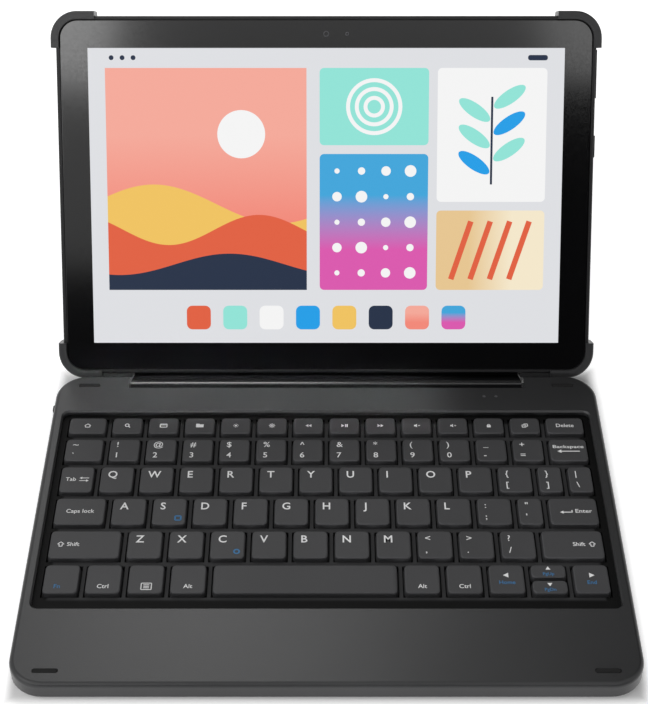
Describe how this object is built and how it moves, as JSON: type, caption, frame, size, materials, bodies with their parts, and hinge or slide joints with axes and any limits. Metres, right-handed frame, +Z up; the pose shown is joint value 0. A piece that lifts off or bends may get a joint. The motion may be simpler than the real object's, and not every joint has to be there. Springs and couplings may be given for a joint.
{
  "type": "tablet keyboard case",
  "caption": "Open clamshell keyboard case: slim keyboard base, friction-hinged back cover with corner clips and a landscape tablet seated in it.",
  "frame": {"origin": "on the desk under the middle of the whole open case", "axes": "+Z up, +Y from the user towards the tablet, +X to the user's right"},
  "size_m": [0.2509, 0.278, 0.1505],
  "materials": {
    "case_plastic": "fine matt, charcoal",
    "key_plastic": "fine matt, charcoal black",
    "web_plastic": "matt",
    "soft_rubber": "soft matt",
    "film": "printed film",
    "steel": "plain",
    "circuit_board": "lacquered",
    "clear_plastic": "clear",
    "bright_metal": "bright",
    "battery_wrap": "foil wrap",
    "tablet_plastic": "satin black",
    "cover_glass": "clear over a black border",
    "display": "lit panel",
    "lens": "dark lens"
  },
  "bodies": {
    "keyboard_base": {"base_top_cover": "case_plastic", "base_bottom_cover": "case_plastic", "rubber_feet": "soft_rubber", "deck_pads": "soft_rubber", "cover_screws": "steel", "key_web": "web_plastic", "support_plate": "steel", "membrane_sheet": "film", "dome_sheet": "soft_rubber", "controller_board": "circuit_board", "light_pipes": "clear_plastic", "charge_socket": "bright_metal", "power_switch_body": "web_plastic", "battery_pack": "battery_wrap", "balance_weights": "steel", "hinge_shafts": "steel", "hinge_blocks": "steel"},
    "tablet_cover": {"hinge_spine": "case_plastic", "friction_bushes": "steel", "back_cover": "case_plastic", "tablet_housing": "tablet_plastic", "tablet_glass": "cover_glass", "tablet_display": "display", "tablet_front_camera": "lens", "tablet_light_sensor": "lens", "tablet_rear_camera": "lens"},
    "power_switch": {"power_switch_knob": "web_plastic"},
    "volume_rocker": {"tablet_volume_rocker": "tablet_plastic"},
    "tablet_power": {"tablet_power_button": "tablet_plastic"},
    "function_keys_row": {"function_keys": "key_plastic"},
    "number_keys_row": {"number_keys": "key_plastic"},
    "upper_letter_keys_row": {"upper_letter_keys": "key_plastic"},
    "home_letter_keys_row": {"home_letter_keys": "key_plastic"},
    "lower_letter_keys_row": {"lower_letter_keys": "key_plastic"},
    "key_delete_cap": {"key_delete": "key_plastic"},
    "key_backspace_cap": {"key_backspace": "key_plastic"},
    "key_tab_cap": {"key_tab": "key_plastic"},
    "key_caps_lock_cap": {"key_caps_lock": "key_plastic"},
    "key_enter_cap": {"key_enter": "key_plastic"},
    "key_left_shift_cap": {"key_left_shift": "key_plastic"},
    "key_right_shift_cap": {"key_right_shift": "key_plastic"},
    "key_fn_cap": {"key_fn": "key_plastic"},
    "key_left_ctrl_cap": {"key_left_ctrl": "key_plastic"},
    "key_menu_cap": {"key_menu": "key_plastic"},
    "key_left_alt_cap": {"key_left_alt": "key_plastic"},
    "key_space_cap": {"key_space": "key_plastic"},
    "key_right_alt_cap": {"key_right_alt": "key_plastic"},
    "key_right_ctrl_cap": {"key_right_ctrl": "key_plastic"},
    "key_arrow_left_cap": {"key_arrow_left": "key_plastic"},
    "key_arrow_up_cap": {"key_arrow_up": "key_plastic"},
    "key_arrow_down_cap": {"key_arrow_down": "key_plastic"},
    "key_arrow_right_cap": {"key_arrow_right": "key_plastic"}
  },
  "joints": [
    {"name": "case_hinge", "type": "hinge", "parent": "keyboard_base", "child": "tablet_cover", "pos_m": [0, 0.03449, 0.0064], "axis": [1, 0, 0], "range_deg": [-6, 122]},
    {"name": "key_row_function_press", "type": "slide", "parent": "keyboard_base", "child": "function_keys_row", "axis": [0, 0, -1], "range_m": [0, 0.0015], "stiffness_N_per_m": 3900, "deforming": ["dome_sheet"]},
    {"name": "key_row_number_press", "type": "slide", "parent": "keyboard_base", "child": "number_keys_row", "axis": [0, 0, -1], "range_m": [0, 0.0015], "stiffness_N_per_m": 3900, "deforming": ["dome_sheet"]},
    {"name": "key_row_upper_letter_press", "type": "slide", "parent": "keyboard_base", "child": "upper_letter_keys_row", "axis": [0, 0, -1], "range_m": [0, 0.0015], "stiffness_N_per_m": 3900, "deforming": ["dome_sheet"]},
    {"name": "key_row_home_letter_press", "type": "slide", "parent": "keyboard_base", "child": "home_letter_keys_row", "axis": [0, 0, -1], "range_m": [0, 0.0015], "stiffness_N_per_m": 3300, "deforming": ["dome_sheet"]},
    {"name": "key_row_lower_letter_press", "type": "slide", "parent": "keyboard_base", "child": "lower_letter_keys_row", "axis": [0, 0, -1], "range_m": [0, 0.0015], "stiffness_N_per_m": 3000, "deforming": ["dome_sheet"]},
    {"name": "key_delete_press", "type": "slide", "parent": "keyboard_base", "child": "key_delete_cap", "axis": [0, 0, -1], "range_m": [0, 0.0015], "stiffness_N_per_m": 400, "deforming": ["dome_sheet"]},
    {"name": "key_backspace_press", "type": "slide", "parent": "keyboard_base", "child": "key_backspace_cap", "axis": [0, 0, -1], "range_m": [0, 0.0015], "stiffness_N_per_m": 400, "deforming": ["dome_sheet"]},
    {"name": "key_tab_press", "type": "slide", "parent": "keyboard_base", "child": "key_tab_cap", "axis": [0, 0, -1], "range_m": [0, 0.0015], "stiffness_N_per_m": 400, "deforming": ["dome_sheet"]},
    {"name": "key_caps_lock_press", "type": "slide", "parent": "keyboard_base", "child": "key_caps_lock_cap", "axis": [0, 0, -1], "range_m": [0, 0.0015], "stiffness_N_per_m": 400, "deforming": ["dome_sheet"]},
    {"name": "key_enter_press", "type": "slide", "parent": "keyboard_base", "child": "key_enter_cap", "axis": [0, 0, -1], "range_m": [0, 0.0015], "stiffness_N_per_m": 400, "deforming": ["dome_sheet"]},
    {"name": "key_left_shift_press", "type": "slide", "parent": "keyboard_base", "child": "key_left_shift_cap", "axis": [0, 0, -1], "range_m": [0, 0.0015], "stiffness_N_per_m": 400, "deforming": ["dome_sheet"]},
    {"name": "key_right_shift_press", "type": "slide", "parent": "keyboard_base", "child": "key_right_shift_cap", "axis": [0, 0, -1], "range_m": [0, 0.0015], "stiffness_N_per_m": 400, "deforming": ["dome_sheet"]},
    {"name": "key_fn_press", "type": "slide", "parent": "keyboard_base", "child": "key_fn_cap", "axis": [0, 0, -1], "range_m": [0, 0.0015], "stiffness_N_per_m": 400, "deforming": ["dome_sheet"]},
    {"name": "key_left_ctrl_press", "type": "slide", "parent": "keyboard_base", "child": "key_left_ctrl_cap", "axis": [0, 0, -1], "range_m": [0, 0.0015], "stiffness_N_per_m": 400, "deforming": ["dome_sheet"]},
    {"name": "key_menu_press", "type": "slide", "parent": "keyboard_base", "child": "key_menu_cap", "axis": [0, 0, -1], "range_m": [0, 0.0015], "stiffness_N_per_m": 400, "deforming": ["dome_sheet"]},
    {"name": "key_left_alt_press", "type": "slide", "parent": "keyboard_base", "child": "key_left_alt_cap", "axis": [0, 0, -1], "range_m": [0, 0.0015], "stiffness_N_per_m": 400, "deforming": ["dome_sheet"]},
    {"name": "key_space_press", "type": "slide", "parent": "keyboard_base", "child": "key_space_cap", "axis": [0, 0, -1], "range_m": [0, 0.0015], "stiffness_N_per_m": 400, "deforming": ["dome_sheet"]},
    {"name": "key_right_alt_press", "type": "slide", "parent": "keyboard_base", "child": "key_right_alt_cap", "axis": [0, 0, -1], "range_m": [0, 0.0015], "stiffness_N_per_m": 400, "deforming": ["dome_sheet"]},
    {"name": "key_right_ctrl_press", "type": "slide", "parent": "keyboard_base", "child": "key_right_ctrl_cap", "axis": [0, 0, -1], "range_m": [0, 0.0015], "stiffness_N_per_m": 400, "deforming": ["dome_sheet"]},
    {"name": "key_arrow_left_press", "type": "slide", "parent": "keyboard_base", "child": "key_arrow_left_cap", "axis": [0, 0, -1], "range_m": [0, 0.0015], "stiffness_N_per_m": 400, "deforming": ["dome_sheet"]},
    {"name": "key_arrow_up_press", "type": "slide", "parent": "keyboard_base", "child": "key_arrow_up_cap", "axis": [0, 0, -1], "range_m": [0, 0.0015], "stiffness_N_per_m": 400, "deforming": ["dome_sheet"]},
    {"name": "key_arrow_down_press", "type": "slide", "parent": "keyboard_base", "child": "key_arrow_down_cap", "axis": [0, 0, -1], "range_m": [0, 0.0015], "stiffness_N_per_m": 400, "deforming": ["dome_sheet"]},
    {"name": "key_arrow_right_press", "type": "slide", "parent": "keyboard_base", "child": "key_arrow_right_cap", "axis": [0, 0, -1], "range_m": [0, 0.0015], "stiffness_N_per_m": 400, "deforming": ["dome_sheet"]},
    {"name": "power_switch_slide", "type": "slide", "parent": "keyboard_base", "child": "power_switch", "axis": [0, 1, 0], "range_m": [0, 0.0024]},
    {"name": "tablet_power_press", "type": "slide", "parent": "tablet_cover", "child": "tablet_power", "axis": [-1, 0, 0], "range_m": [0, 0.0004], "stiffness_N_per_m": 2500},
    {"name": "volume_rocker_press", "type": "slide", "parent": "tablet_cover", "child": "volume_rocker", "axis": [-1, 0, 0], "range_m": [0, 0.0004], "stiffness_N_per_m": 2500}
  ]
}
